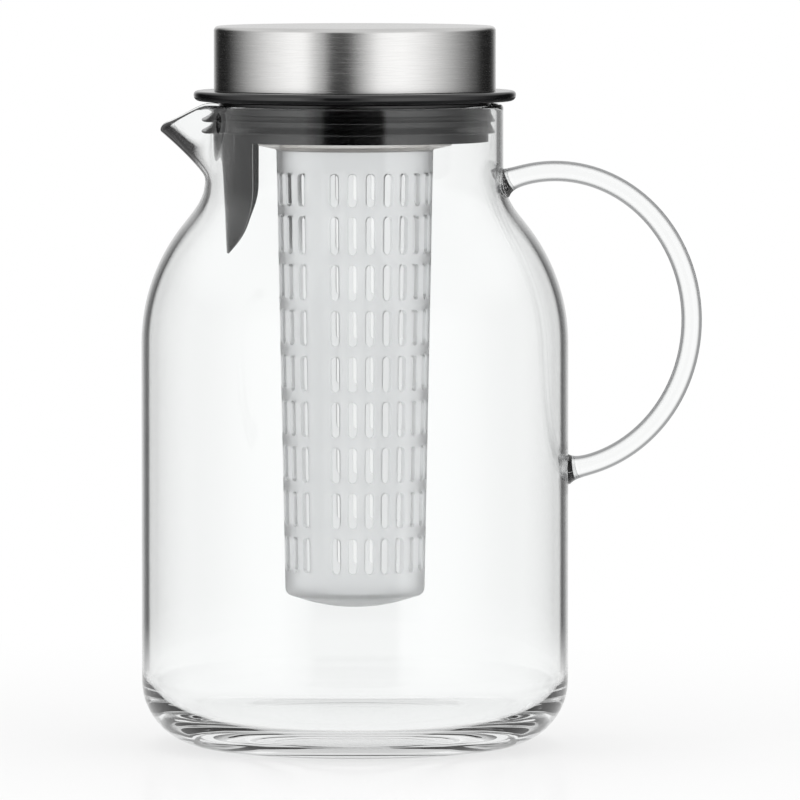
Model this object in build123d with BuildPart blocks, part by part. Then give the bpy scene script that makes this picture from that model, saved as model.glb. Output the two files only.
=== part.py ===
from build123d import *
import os
from math import acos, cos, degrees, radians, sin, tan

# Glass pitcher with a lift-out lid and a screw-in infuser tube.
# Millimetres, +Z up, the jug's axis on Z and its foot on Z = 0.
# The spout points along -X and the handle along +X.

# Glass jug
body_radius = 67.5
glass_wall = 2.3
neck_radius = 46.9
rim_height = 202.8
shoulder_start = 127.4
crown_radius = 60.0
throat_radius = 18.0
heel_radius = 20.5
base_thickness = 7.4
inner_heel_radius = 15.0
foot_inner_radius = 36.0
foot_hollow = 1.2

# Spout pulled out of the neck
spout_reach = 14.6
spout_drop = 7.5
spout_lip_setback = 3.0
spout_lip_radius = 46.0
spout_root = 5.0
spout_under_angle = 44.5
spout_half_angle = 28.0
spout_root_radius = 4.0

# Glass handle
handle_center_out = 16.4
handle_center_height = 134.5
handle_half_depth = 43.2
handle_half_height = 47.2
handle_thickness = 6.5
handle_width = 9.6
pad_length = 6.0
pad_spread = 2.6

# Lid
rim_gap = 1.1
flange_overhang = 4.0
flange_thickness = 3.2
flange_top_edge = 1.2
flange_bottom_edge = 1.8
cap_setback = 6.4
cap_height = 20.4
cap_sheet = 0.8
cap_edge_radius = 1.5
liner_wall = 1.6
plug_depth = 11.6
plug_lip_height = 2.6
plug_lip_gap = 2.4
plug_wall = 2.0
plug_floor = 2.4
upstand_setback = 4.2
upstand_height = 10.0
snap_bead_height = 6.0
snap_bead_radius = 0.6

# Silicone seal around the plug
seal_wall = 1.6
seal_wall_gap = 1.6
seal_stretch = 3.4
seal_lip_pitch = 3.6
seal_lip_root = 2.6
seal_lip_tip = 0.7

# Pour guard hanging from the plug on the spout side
guard_wall = 1.9
guard_setback = 0.6
guard_lean = 1.6
guard_side = 31.3
guard_straight = 14.1
guard_point = 21.2
guard_tip = 0.9
guard_tenon_wall = 0.9
guard_tenon_height = 1.5
guard_tenon_half_width = 20.0

# Screw socket for the infuser
screw_lead = 24.0
screw_starts = 3
pin_radius = 1.1
pin_reach = 1.8
pin_height = 4.0
pin_angle = 30.0
spigot_radius = 25.4
spigot_height = 6.6
socket_wall = 2.0
socket_deck = 2.0
socket_shoulder = 3.0
washer_thickness = 1.6

# Infuser tube
infuser_wall = 1.8
infuser_bottom_radius = 22.0
infuser_neck_step = 0.6
infuser_floor_gap = 36.4
infuser_dome = 4.5
collar_radius = 30.7
collar_edge = 1.0
collar_depth = 2.3
slot_length = 11.1
slot_width = 2.7
slot_pitch = 14.35
slot_first_drop = 9.4
slot_band = 7.0
slot_positions = 26
slot_blank_angles = (-119.35, 60.65)

# Clearances
turn_clearance = 0.2
seal_neck_clearance = 0.25
fit_clearance = 0.1
screw_clearance = 0.3
rest_gap = 0.3

# Values that follow from the sizes above
neck_bore = neck_radius - glass_wall
body_bore = body_radius - glass_wall
shoulder_angle = acos(1 - (body_radius - neck_radius) / (crown_radius + throat_radius))
neck_start = shoulder_start + (crown_radius + throat_radius) * sin(shoulder_angle)
flange_bottom = rim_height + rim_gap
flange_top = flange_bottom + flange_thickness
flange_radius = neck_radius + flange_overhang
cap_radius = flange_radius - cap_setback
cap_top = flange_top + cap_height
plug_bottom = rim_height - plug_depth
plug_lip_radius = neck_bore - plug_lip_gap
plug_lip_top = plug_bottom + plug_lip_height
seal_outer = neck_bore - seal_wall_gap
seal_inner = seal_outer - seal_wall
seat_radius = seal_inner - turn_clearance
upstand_radius = seat_radius - upstand_setback
upstand_top = flange_top + upstand_height
bead_height = flange_top + snap_bead_height
socket_bore = spigot_radius + screw_clearance
groove_radius = spigot_radius + pin_reach + screw_clearance
socket_radius = groove_radius + socket_wall
spigot_top = plug_bottom + spigot_height
washer_bottom = spigot_top + turn_clearance
socket_top = washer_bottom + washer_thickness + turn_clearance


def jug_outline(inset):
    """Right half of the jug's wall from the body up to the rim, moved inwards by inset."""
    crown = crown_radius - inset
    throat = throat_radius + inset
    crown_center = (body_radius - crown_radius, shoulder_start)
    throat_center = (neck_radius + throat_radius, neck_start)
    turn = degrees(shoulder_angle)
    CenterArc(crown_center, crown, 0, turn)
    CenterArc(throat_center, throat, 180, turn)
    Line((neck_radius - inset, neck_start), (neck_radius - inset, rim_height))


# Outer shape of the jug without its spout, also used to trim the handle
with BuildPart() as jug_envelope:
    with BuildSketch(Plane.XZ):
        with BuildLine():
            Line((0, 0), (body_radius - heel_radius, 0))
            CenterArc((body_radius - heel_radius, heel_radius), heel_radius, -90, 90)
            Line((body_radius, heel_radius), (body_radius, shoulder_start))
            jug_outline(0)
            Line((neck_radius, rim_height), (0, rim_height))
            Line((0, rim_height), (0, 0))
        make_face()
    revolve(axis=Axis.Z)

# Spout cone: its lowest line runs from the neck wall out to the tip of the lip
tip_radius = neck_radius + spout_reach
tip_height = rim_height - spout_drop
apex_radius = neck_radius - spout_root
apex_height = tip_height - (tip_radius - apex_radius) / tan(radians(spout_under_angle))
spout_tilt = spout_under_angle - spout_half_angle
spout_height = rim_height - apex_height + spout_reach
spout_direction = (-sin(radians(spout_tilt)), 0, cos(radians(spout_tilt)))
spout_plane = Plane(origin=(-apex_radius, 0, apex_height), x_dir=(0, 1, 0), z_dir=spout_direction)


def spout_cone(inset, mode):
    """Cone of the spout with its surface moved inwards by inset."""
    shift = inset / sin(radians(spout_half_angle))
    mouth = (spout_height - shift) * tan(radians(spout_half_angle))
    from_apex = (Align.CENTER, Align.CENTER, Align.MIN)
    with Locations(spout_plane.offset(shift)):
        Cone(0, mouth, spout_height - shift, align=from_apex, mode=mode)


def neck_and_spout(inset):
    """Neck carried on above the rim, with the spout's cone, both moved inwards by inset."""
    from_rim = (Align.CENTER, Align.CENTER, Align.MIN)
    with Locations((0, 0, rim_height)):
        Cylinder(neck_radius - inset, spout_height, align=from_rim)
    spout_cone(inset, Mode.ADD)


# Outside and inside of the jug, each with a smooth root where the spout leaves the neck
with BuildPart() as jug_outside:
    add(jug_envelope.part)
    neck_and_spout(0)
    fillet(jug_outside.edges().filter_by(GeomType.BSPLINE), spout_root_radius)

with BuildPart() as jug_inside:
    with BuildSketch(Plane.XZ):
        with BuildLine():
            floor_end = body_bore - inner_heel_radius
            heel_top = base_thickness + inner_heel_radius
            Line((0, base_thickness), (floor_end, base_thickness))
            CenterArc((floor_end, heel_top), inner_heel_radius, -90, 90)
            Line((body_bore, heel_top), (body_bore, shoulder_start))
            jug_outline(glass_wall)
            Line((neck_bore, rim_height), (0, rim_height))
            Line((0, rim_height), (0, base_thickness))
        make_face()
    revolve(axis=Axis.Z)
    neck_and_spout(glass_wall)
    fillet(jug_inside.edges().filter_by(GeomType.BSPLINE), spout_root_radius + glass_wall)

# Whole glass jug
with BuildPart() as glass_jug:
    add(jug_outside.part)
    add(jug_inside.part, mode=Mode.SUBTRACT)
    # Lip: everything above the rim and above the sloping edge of the spout goes
    with BuildSketch(Plane.XZ):
        with BuildLine():
            lip_start = (-(neck_radius - spout_lip_setback), rim_height)
            lip_tip = (-tip_radius, tip_height)
            lip_far = (-(tip_radius + spout_reach), tip_height - spout_drop)
            above = rim_height + spout_height + spout_reach
            RadiusArc(lip_start, lip_tip, -spout_lip_radius)
            Polyline(
                lip_tip,
                lip_far,
                (lip_far[0], above),
                (body_radius, above),
                (body_radius, rim_height),
                lip_start,
            )
        make_face()
    extrude(amount=body_radius, both=True, mode=Mode.SUBTRACT)
    # Shallow hollow under the foot
    with BuildSketch(Plane.XZ):
        with BuildLine():
            ThreePointArc((-foot_inner_radius, 0), (0, foot_hollow), (foot_inner_radius, 0))
            Line((foot_inner_radius, 0), (-foot_inner_radius, 0))
        make_face()
        Rectangle(foot_inner_radius, foot_hollow, align=(Align.MIN, Align.MIN), mode=Mode.INTERSECT)
    revolve(axis=Axis.Z, mode=Mode.SUBTRACT)

# The jug's glass in three bands: the thick foot, the straight wall, and the shoulder with the neck
foot_band_top = Plane.XY.offset(base_thickness + inner_heel_radius)
wall_band_top = Plane.XY.offset(shoulder_start)
with BuildPart() as jug_foot:
    add(glass_jug.part)
    split(bisect_by=foot_band_top, keep=Keep.BOTTOM)

with BuildPart() as jug_wall:
    add(glass_jug.part)
    split(bisect_by=foot_band_top, keep=Keep.TOP)
    split(bisect_by=wall_band_top, keep=Keep.BOTTOM)

with BuildPart() as jug_neck:
    add(glass_jug.part)
    split(bisect_by=wall_band_top, keep=Keep.TOP)

# Glass handle: a rod bent to part of an ellipse, with a flared weld at each end
handle_center = (neck_radius + handle_center_out, handle_center_height)
upper_end = degrees(acos((neck_bore - handle_center[0]) / handle_half_depth))
lower_end = -degrees(acos((body_bore - handle_center[0]) / handle_half_depth))
pad_turn = degrees((pad_length + glass_wall) / handle_half_height)


def rod_plane(angle):
    """Plane across the handle's rod at an angle around the handle's ellipse."""
    turn = radians(angle)
    x = handle_center[0] + handle_half_depth * cos(turn)
    z = handle_center[1] + handle_half_height * sin(turn)
    along = (-handle_half_depth * sin(turn), 0, handle_half_height * cos(turn))
    return Plane(origin=(x, 0, z), x_dir=(0, 1, 0), z_dir=along)


with BuildPart() as glass_handle:
    with BuildLine(Plane.XZ) as rod_line:
        half_sizes = (handle_half_depth, handle_half_height)
        EllipticalCenterArc(handle_center, *half_sizes, lower_end, arc_size=upper_end - lower_end)
    with BuildSketch(rod_plane(lower_end)):
        Ellipse(handle_width / 2, handle_thickness / 2)
    sweep(path=rod_line.wires()[0])
    for end, inward in ((upper_end, -1), (lower_end, 1)):
        with BuildSketch(rod_plane(end)):
            Ellipse(handle_width / 2 + pad_spread, handle_thickness / 2 + pad_spread)
        with BuildSketch(rod_plane(end + inward * pad_turn)):
            Ellipse(handle_width / 2, handle_thickness / 2)
        loft()
    add(jug_envelope.part, mode=Mode.SUBTRACT)

# Steel cap
with BuildPart() as steel_cap:
    with BuildSketch(Plane.XY.offset(flange_top)):
        Circle(cap_radius)
    extrude(amount=cap_height)
    fillet(steel_cap.edges().group_by(Axis.Z)[-1], cap_edge_radius)
    with BuildSketch(Plane.XY.offset(flange_top)):
        Circle(cap_radius - cap_sheet)
    extrude(amount=cap_height - cap_sheet, mode=Mode.SUBTRACT)

# Plastic liner that fills the steel cap and snaps onto the plug
liner_radius = cap_radius - cap_sheet - fit_clearance
liner_top = cap_top - cap_sheet - fit_clearance
snap_bore = upstand_radius + fit_clearance
with BuildPart() as cap_liner:
    with BuildSketch(Plane.XY.offset(flange_top)):
        Circle(liner_radius)
        Circle(liner_radius - liner_wall, mode=Mode.SUBTRACT)
        Circle(snap_bore + liner_wall)
        Circle(snap_bore, mode=Mode.SUBTRACT)
    extrude(amount=liner_top - flange_top)
    with BuildSketch(Plane.XY.offset(liner_top - liner_wall)):
        Circle(liner_radius)
    extrude(amount=liner_wall)
    chamfer(cap_liner.edges().group_by(Axis.Z)[-1], cap_edge_radius - fit_clearance)
    with Locations((0, 0, bead_height)):
        Torus(snap_bore, snap_bead_radius, mode=Mode.SUBTRACT)

# Round-edged flange ring over the rim
with BuildPart() as lid_flange:
    with BuildSketch(Plane.XY.offset(flange_bottom)):
        Circle(flange_radius)
    extrude(amount=flange_thickness)
    fillet(lid_flange.edges().group_by(Axis.Z)[-1], flange_top_edge)
    fillet(lid_flange.edges().group_by(Axis.Z)[0], flange_bottom_edge)
    with BuildSketch(Plane.XY.offset(flange_bottom)):
        Circle(upstand_radius + fit_clearance)
    extrude(amount=flange_thickness, mode=Mode.SUBTRACT)

# Groove that one pin of the infuser runs in, open at the underside of the plug
groove_mid_radius = (socket_bore - screw_clearance + groove_radius) / 2
groove_depth = groove_radius - socket_bore + screw_clearance
groove_width = 2 * (pin_radius + screw_clearance)
groove_start = plug_bottom - groove_width
groove_end_turn = degrees((pin_radius + screw_clearance) / groove_mid_radius)
groove_rise = plug_bottom + pin_height - groove_start + screw_lead * groove_end_turn / 360
groove_turn = 360 * (plug_bottom + pin_height - groove_start) / screw_lead
with BuildPart() as screw_groove:
    with BuildLine() as groove_line:
        Helix(screw_lead, groove_rise, groove_mid_radius, center=(0, 0, groove_start))
    groove_path = groove_line.wires()[0]
    with BuildSketch(Plane(origin=groove_path @ 0, x_dir=(1, 0, 0), z_dir=groove_path % 0)):
        Rectangle(groove_depth, groove_width)
    sweep(path=groove_path, is_frenet=True)

# Pour guard: a curved shield, cut from the side to a bowed point, with a tenon along its top
guard_bottom = plug_bottom - guard_straight - guard_point
guard_radius = plug_lip_radius - guard_setback
guard_tenon_radius = guard_radius - guard_wall / 2 + guard_tenon_wall / 2
with BuildPart() as pour_guard:
    with BuildSketch(Plane.XZ):
        with BuildLine():
            Polyline(
                (guard_radius, plug_bottom),
                (guard_radius - guard_lean, guard_bottom),
                (guard_radius - guard_lean - guard_wall, guard_bottom),
                (guard_radius - guard_wall, plug_bottom),
                close=True,
            )
        make_face()
    revolve(axis=Axis.Z)
    with BuildSketch(Plane.XZ):
        with BuildLine():
            bow_start = (-guard_side, plug_bottom - guard_straight)
            bow_end = (guard_tip - guard_radius + guard_lean, guard_bottom)
            Polyline(
                bow_end,
                (-plug_lip_radius, guard_bottom),
                (-plug_lip_radius, plug_bottom),
                (-guard_side, plug_bottom),
                bow_start,
            )
            TangentArc(bow_start, bow_end, tangent=(0, -1))
        make_face()
    extrude(amount=plug_lip_radius, both=True, mode=Mode.INTERSECT)
    with BuildSketch(Plane.XY.offset(plug_bottom)):
        Circle(guard_tenon_radius)
        Circle(guard_tenon_radius - guard_tenon_wall, mode=Mode.SUBTRACT)
        beside = (Align.MAX, Align.CENTER)
        Rectangle(plug_lip_radius, 2 * guard_tenon_half_width, align=beside, mode=Mode.INTERSECT)
    extrude(amount=guard_tenon_height)

# Plug: outer wall with the seal's seat, floor ring and snap upstand
ledge_bottom = flange_bottom - plug_wall
plug_floor_top = plug_bottom + plug_floor
with BuildPart() as lid_plug:
    with BuildSketch(Plane.XZ):
        with BuildLine():
            Polyline(
                (socket_radius + fit_clearance, plug_bottom),
                (plug_lip_radius, plug_bottom),
                (plug_lip_radius, plug_lip_top),
                (seat_radius, plug_lip_top),
                (seat_radius, flange_bottom),
                (upstand_radius, flange_bottom),
                (upstand_radius, upstand_top),
                (upstand_radius - plug_wall, upstand_top),
                (upstand_radius - plug_wall, ledge_bottom),
                (seat_radius - plug_wall, ledge_bottom),
                (seat_radius - plug_wall, plug_floor_top),
                (socket_radius + fit_clearance, plug_floor_top),
                close=True,
            )
        make_face()
    revolve(axis=Axis.Z)
    with Locations((0, 0, bead_height)):
        Torus(upstand_radius, snap_bead_radius - fit_clearance)
    # Slot for the pour guard's tenon
    with BuildSketch(Plane.XY.offset(plug_bottom)):
        Circle(guard_tenon_radius + fit_clearance)
        Circle(guard_tenon_radius - guard_tenon_wall - fit_clearance, mode=Mode.SUBTRACT)
        slot_width_across = 2 * (guard_tenon_half_width + fit_clearance)
        Rectangle(plug_lip_radius, slot_width_across, align=beside, mode=Mode.INTERSECT)
    extrude(amount=guard_tenon_height + fit_clearance, mode=Mode.SUBTRACT)

# Screw socket: a cup set into the plug's floor ring, held up by a shoulder that rests on the ring
with BuildPart() as screw_socket:
    with BuildSketch(Plane.XZ):
        with BuildLine():
            Polyline(
                (socket_bore, plug_bottom),
                (socket_radius, plug_bottom),
                (socket_radius, plug_floor_top),
                (socket_radius + socket_shoulder, plug_floor_top),
                (socket_radius + socket_shoulder, plug_floor_top + socket_wall),
                (socket_radius, plug_floor_top + socket_wall),
                (socket_radius, socket_top + socket_deck),
                (0, socket_top + socket_deck),
                (0, socket_top),
                (socket_bore, socket_top),
                close=True,
            )
        make_face()
    revolve(axis=Axis.Z)
    for start in range(screw_starts):
        turn = pin_angle + 360 * start / screw_starts - groove_turn
        add(screw_groove.part, rotation=(0, 0, turn), mode=Mode.SUBTRACT)

# Space the seal's lips are pressed into: the neck's bore and the mouth of the spout
seal_bottom = plug_lip_top + turn_clearance
seal_top = flange_bottom - turn_clearance
with BuildPart() as seal_space:
    with BuildSketch(Plane.XY.offset(plug_bottom)):
        Circle(neck_bore - seal_neck_clearance)
    extrude(amount=flange_bottom - plug_bottom)
    spout_cone(glass_wall + seal_neck_clearance, Mode.ADD)

# Silicone seal: a sleeve with two lips that spread where the spout leaves them room
seal_free_radius = neck_bore + seal_stretch
with BuildPart() as neck_seal:
    with BuildSketch(Plane.XZ):
        with Locations((seal_inner, seal_bottom)):
            Rectangle(seal_wall, seal_top - seal_bottom, align=(Align.MIN, Align.MIN))
        for lip in range(2):
            lip_bottom = seal_bottom + lip * seal_lip_pitch
            with BuildLine():
                Polyline(
                    (seal_outer - seal_wall / 2, lip_bottom),
                    (seal_free_radius, lip_bottom),
                    (seal_free_radius, lip_bottom + seal_lip_tip),
                    (seal_outer - seal_wall / 2, lip_bottom + seal_lip_root),
                    close=True,
                )
            make_face()
    revolve(axis=Axis.Z)
    add(seal_space.part, mode=Mode.INTERSECT)

# Silicone washer at the end of the screw socket
with BuildPart() as infuser_washer:
    with BuildSketch(Plane.XY.offset(washer_bottom)):
        Circle(spigot_radius - fit_clearance)
        Circle(spigot_radius - infuser_wall, mode=Mode.SUBTRACT)
    extrude(amount=washer_thickness)

# Infuser tube: screw spigot with pins, collar, tapered slotted wall and domed end
collar_top = plug_bottom - rest_gap
tube_top = collar_top - collar_depth
tube_top_radius = spigot_radius - infuser_neck_step
tube_bottom = base_thickness + infuser_floor_gap + infuser_dome
slot_top = collar_top - slot_first_drop
slot_span = slot_top - tube_bottom - slot_band
slot_rows = int((slot_span - slot_length) / slot_pitch) + 1
slot_middle = slot_top - slot_length / 2 - slot_pitch * (slot_rows - 1) / 2
slot_depth_start = infuser_bottom_radius - infuser_wall - rest_gap
slot_depth = spigot_radius - slot_depth_start


def slot_plane(angle):
    """Upright plane inside the tube that faces outwards at an angle around the axis."""
    x = cos(radians(angle))
    y = sin(radians(angle))
    origin = (slot_depth_start * x, slot_depth_start * y, slot_middle)
    return Plane(origin=origin, x_dir=(-y, x, 0), z_dir=(x, y, 0))


slot_step = 360 / slot_positions
slot_angles = []
for position in range(slot_positions):
    angle = slot_blank_angles[0] + position * slot_step
    blank = min(abs((angle - skip + 180) % 360 - 180) for skip in slot_blank_angles)
    if blank > slot_step / 2:
        slot_angles.append(angle)

with BuildPart() as infuser_tube:
    with BuildSketch(Plane.XZ):
        with BuildLine():
            Polyline(
                (infuser_bottom_radius, tube_bottom),
                (tube_top_radius, tube_top),
                (collar_radius, collar_top - collar_edge),
                (collar_radius, collar_top),
                (spigot_radius, collar_top),
                (spigot_radius, spigot_top),
                (spigot_radius - infuser_wall, spigot_top),
                (tube_top_radius - infuser_wall, tube_top),
                (infuser_bottom_radius - infuser_wall, tube_bottom),
            )
            inner_edge = infuser_bottom_radius - infuser_wall
            inner_pole = tube_bottom - infuser_dome + infuser_wall
            inner_bow = (inner_edge**2 + (tube_bottom - inner_pole) ** 2) / (2 * (tube_bottom - inner_pole))
            outer_bow = (infuser_bottom_radius**2 + infuser_dome**2) / (2 * infuser_dome)
            RadiusArc((inner_edge, tube_bottom), (0, inner_pole), inner_bow)
            Line((0, inner_pole), (0, tube_bottom - infuser_dome))
            RadiusArc((0, tube_bottom - infuser_dome), (infuser_bottom_radius, tube_bottom), -outer_bow)
        make_face()
    revolve(axis=Axis.Z)
    with BuildSketch(*[slot_plane(angle) for angle in slot_angles]):
        with GridLocations(0, slot_pitch, 1, slot_rows):
            SlotOverall(slot_length, slot_width, rotation=90)
    extrude(amount=slot_depth, mode=Mode.SUBTRACT)
    pin_root = spigot_radius - infuser_wall / 2
    for start in range(screw_starts):
        turn = radians(pin_angle + 360 * start / screw_starts)
        outward = (cos(turn), sin(turn), 0)
        center = (pin_root * cos(turn), pin_root * sin(turn), plug_bottom + pin_height)
        with BuildSketch(Plane(origin=center, z_dir=outward)):
            Circle(pin_radius)
        extrude(amount=spigot_radius + pin_reach - pin_root)

sub_parts = {
    "jug_foot": jug_foot,
    "jug_wall": jug_wall,
    "jug_neck": jug_neck,
    "glass_handle": glass_handle,
    "steel_cap": steel_cap,
    "cap_liner": cap_liner,
    "lid_flange": lid_flange,
    "lid_plug": lid_plug,
    "screw_socket": screw_socket,
    "pour_guard": pour_guard,
    "neck_seal": neck_seal,
    "infuser_washer": infuser_washer,
    "infuser_tube": infuser_tube,
}

os.makedirs("parts", exist_ok=True)
for name, built in sub_parts.items():
    built.part.label = name
    export_step(built.part, "parts/" + name + ".step")
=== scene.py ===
from math import acos, asin, cos, degrees, pi, radians, sin, sqrt

import bmesh
import bpy
import numpy as np
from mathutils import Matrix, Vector


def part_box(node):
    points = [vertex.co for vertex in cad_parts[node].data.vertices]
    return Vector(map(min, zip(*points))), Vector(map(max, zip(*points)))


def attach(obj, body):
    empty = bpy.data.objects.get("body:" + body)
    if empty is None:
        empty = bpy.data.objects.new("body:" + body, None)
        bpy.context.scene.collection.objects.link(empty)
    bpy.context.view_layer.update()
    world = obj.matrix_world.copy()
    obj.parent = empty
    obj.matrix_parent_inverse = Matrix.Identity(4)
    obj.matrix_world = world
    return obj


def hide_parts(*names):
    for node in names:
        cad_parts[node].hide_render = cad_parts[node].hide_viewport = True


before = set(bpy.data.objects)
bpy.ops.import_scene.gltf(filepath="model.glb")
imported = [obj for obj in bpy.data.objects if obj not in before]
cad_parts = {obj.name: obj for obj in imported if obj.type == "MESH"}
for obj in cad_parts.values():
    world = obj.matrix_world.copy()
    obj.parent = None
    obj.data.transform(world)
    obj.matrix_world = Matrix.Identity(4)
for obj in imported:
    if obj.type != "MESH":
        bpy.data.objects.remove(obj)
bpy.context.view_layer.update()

bl_info = {
    "name": "Infuser Pitcher",
    "version": (1, 0, 0),
    "blender": (4, 5, 0),
    "location": "View3D > Sidebar > Pitcher",
    "description": "Glass pitcher with a steel-capped lid and a slotted infuser tube",
    "category": "Object",
}

# Metres, +Z up, the jug's axis on Z, spout towards -X and handle towards +X.
foot_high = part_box("jug_foot")[1]
wall_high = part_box("jug_wall")[1]
neck_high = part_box("jug_neck")[1]
cap_low, cap_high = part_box("steel_cap")
flange_low, flange_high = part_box("lid_flange")
plug_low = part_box("lid_plug")[0]
seal_low, seal_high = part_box("neck_seal")
guard_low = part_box("pour_guard")[0]
tube_low, tube_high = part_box("infuser_tube")

# Sides of the round pieces of the lid
lid_segments = 256


def length(description, default):
    """A size in metres that the user can change."""
    limits = {"default": default, "min": 0, "precision": 4}
    return bpy.props.FloatProperty(description=description, subtype="DISTANCE", unit="LENGTH", **limits)


def turn(description, default):
    """An angle in degrees that the user can change."""
    default = radians(default)
    return bpy.props.FloatProperty(description=description, default=default, subtype="ANGLE", unit="ROTATION")


def colour(description, default):
    """A colour that the user can change."""
    limits = {"default": default, "size": 3, "min": 0, "max": 1}
    return bpy.props.FloatVectorProperty(description=description, subtype="COLOR", **limits)


def named(group):
    """Gives each property of a group its name in words, after its attribute."""
    for attribute, value in group.__annotations__.items():
        value.keywords["name"] = attribute.replace("_", " ").capitalize()
    return group


@named
class PitcherSizes(bpy.types.PropertyGroup):
    """Sizes of the pieces."""

    body_radius: length("Outside radius of the glass body", wall_high.x)
    rim_height: length("Height of the glass rim", neck_high.z)
    glass_wall: length("Thickness of the jug's wall", 0.0023)
    neck_radius: length("Outside radius of the glass neck", 0.0469)
    shoulder_start: length("Height at which the body begins to narrow", wall_high.z)
    crown_radius: length("Radius of the rounded shoulder", 0.06)
    throat_radius: length("Radius of the hollow curve under the neck", 0.018)
    bend_blend: length("Length over which the shoulder's bends run into each other", 0.0024)
    heel_radius: length("Outside radius between wall and foot", 0.0205)
    inner_heel: length("Inside radius between wall and floor", 0.015)
    base_thickness: length("Thickness of the glass in the jug's base", foot_high.z - 0.015)
    foot_inner: length("Inner radius of the ring that the jug stands on", 0.036)
    foot_hollow: length("Height of the hollow under the foot", 0.0012)
    spout_start: length("Height at which the spout leaves the neck", neck_high.z - 0.0229)
    spout_tip: length("Distance of the spout's tip from the axis", 0.0625)
    spout_drop: length("How far the spout's tip lies below the rim", 0.0075)
    spout_spread: turn("Half width of the spout around the neck", 13.5)
    lip_start: length("Distance from the axis at which the rim begins to slope", 0.048)
    handle_out: length("Distance of the handle's centre from the axis", 0.0633)
    handle_height: length("Height of the handle's centre", 0.1345)
    handle_depth: length("Half of the handle's ellipse away from the jug", 0.0432)
    handle_rise: length("Half of the handle's ellipse upwards", 0.0472)
    handle_thickness: length("Thickness of the rod in the plane of its bend", 0.0065)
    handle_width: length("Width of the rod across its bend", 0.0096)
    weld_spread: length("How far the rod flares where it is welded on", 0.0018)
    weld_length: length("Length of the flared ends", 0.0036)
    cap_edge: length("Radius of the cap's top edge", 0.0015)
    cap_sheet: length("Thickness of the steel sheet", 0.0008)
    flange_top_edge: length("Radius of the flange's upper edge", 0.0012)
    flange_low_edge: length("Radius of the flange's lower edge", 0.0018)
    flange_bore: length("Inner radius of the flange ring", 0.0371)
    seal_inner: length("Inner radius of the seal's sleeve", 0.0414)
    seal_outer: length("Outer radius of the seal's sleeve", 0.043)
    seal_reach: length("Radius of the seal's lips where nothing presses them", 0.048)
    seal_gap: length("Gap left between the lips and the glass", 0.00025)
    lip_pitch: length("Distance from one seal lip to the next", 0.0036)
    guard_radius: length("Outside radius of the pour guard at its top", 0.0421)
    guard_lean: length("How far the guard leans in towards its point", 0.0016)
    guard_wall: length("Thickness of the pour guard", 0.0019)
    guard_side: length("Distance of the guard's side edges from the axis", 0.0313)
    guard_straight: length("Straight part of the guard above its bowed point", 0.0141)
    guard_tip: length("Thickness of the guard's lower end", 0.0009)
    tube_bottom: length("Outside radius at the tube's lower end", 0.022)
    tube_top: length("Outside radius at the tube's upper end", 0.0248)
    tube_wall: length("Thickness of the tube's wall", 0.0018)
    tube_dome: length("Height of the tube's rounded end", 0.0045)
    spigot_radius: length("Outside radius of the spigot in the screw socket", 0.0254)
    collar_radius: length("Outside radius of the tube's collar", 0.0307)
    collar_top: length("Height of the collar's upper face", plug_low.z - 0.0003)
    collar_edge: length("Height of the collar's upright edge", 0.001)
    collar_flare: length("Height of the collar and the cone under it", 0.0023)
    pin_radius: length("Radius of the spigot's three pins", 0.0011)
    pin_reach: length("How far the pins stand out of the spigot", 0.0018)
    pin_rise: length("Height of the pins above the collar", 0.0043)
    slot_length: length("Length of one slot", 0.0111)
    slot_width: length("Width of one slot", 0.0027)
    slot_pitch: length("Distance from one slot to the one below it", 0.01435)
    slot_top: length("Height at which the first row of slots begins", plug_low.z - 0.0097)
    slot_start: turn("Angle of the tube's first plain strip", -119.35)


@named
class PitcherColours(bpy.types.PropertyGroup):
    """Colours of the finishes."""

    glass: colour("Tint of the jug's glass", (0.985, 0.992, 0.99))
    # The next four colours are painted shade, laid on the glass where it is seen edge on
    glass_edge: colour("Tint of the wall where it is seen edge on", (0.38, 0.385, 0.39))
    glass_rim: colour("Tint of the wall at its very edge", (0.62, 0.625, 0.63))
    rod_edge: colour("Tint of the handle's rod where it is seen edge on", (0.09, 0.092, 0.095))
    spout_edge: colour("Tint of the spout's thick glass seen edge on", (0.003, 0.003, 0.003))
    infuser: colour("Tint of the infuser's clear plastic", (0.93, 0.934, 0.938))
    collar: colour("Tint of the infuser's collar", (0.93, 0.91, 0.89))
    steel: colour("Brushed steel of the cap", (0.92, 0.915, 0.905))
    flange: colour("Glossy plastic of the flange", (0.006, 0.006, 0.0065))
    plug: colour("Satin plastic of the plug and guard", (0.012, 0.0122, 0.0127))
    liner: colour("Plastic inside the cap", (0.04, 0.04, 0.04))
    seal: colour("Silicone of the neck seal", (0.012, 0.012, 0.0124))
    washer: colour("Silicone of the washer in the socket", (0.8, 0.8, 0.78))
    floor: colour("Floor under the pitcher", (0.93, 0.93, 0.93))


def settings(context):
    """The sizes and colours that the user has set."""
    return context.scene.pitcher_sizes, context.scene.pitcher_colours


# Roughness, its spread, the scale of its patches, and the scale, strength and depth of the pits
finishes = {
    "polished": (0.002, 0.003, 30.0, 60.0, 0.02, 0.0004),
    "frosted": (0.38, 0.06, 60.0, 500.0, 0.05, 0.0002),
    "liner": (0.5, 0.2, 60.0, 900.0, 0.1, 0.0001),
    "gloss": (0.09, 0.08, 50.0, 1200.0, 0.03, 0.0001),
    "matte": (0.5, 0.14, 50.0, 1200.0, 0.03, 0.0001),
    "satin": (0.12, 0.06, 70.0, 1500.0, 0.04, 0.0001),
    "silicone": (0.15, 0.08, 80.0, 1800.0, 0.05, 0.0001),
    "milky": (0.4, 0.2, 80.0, 1800.0, 0.08, 0.0001),
    "floor": (0.22, 0.06, 6.0, 300.0, 0.01, 0.0001),
}


# Shared surface effects


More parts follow.
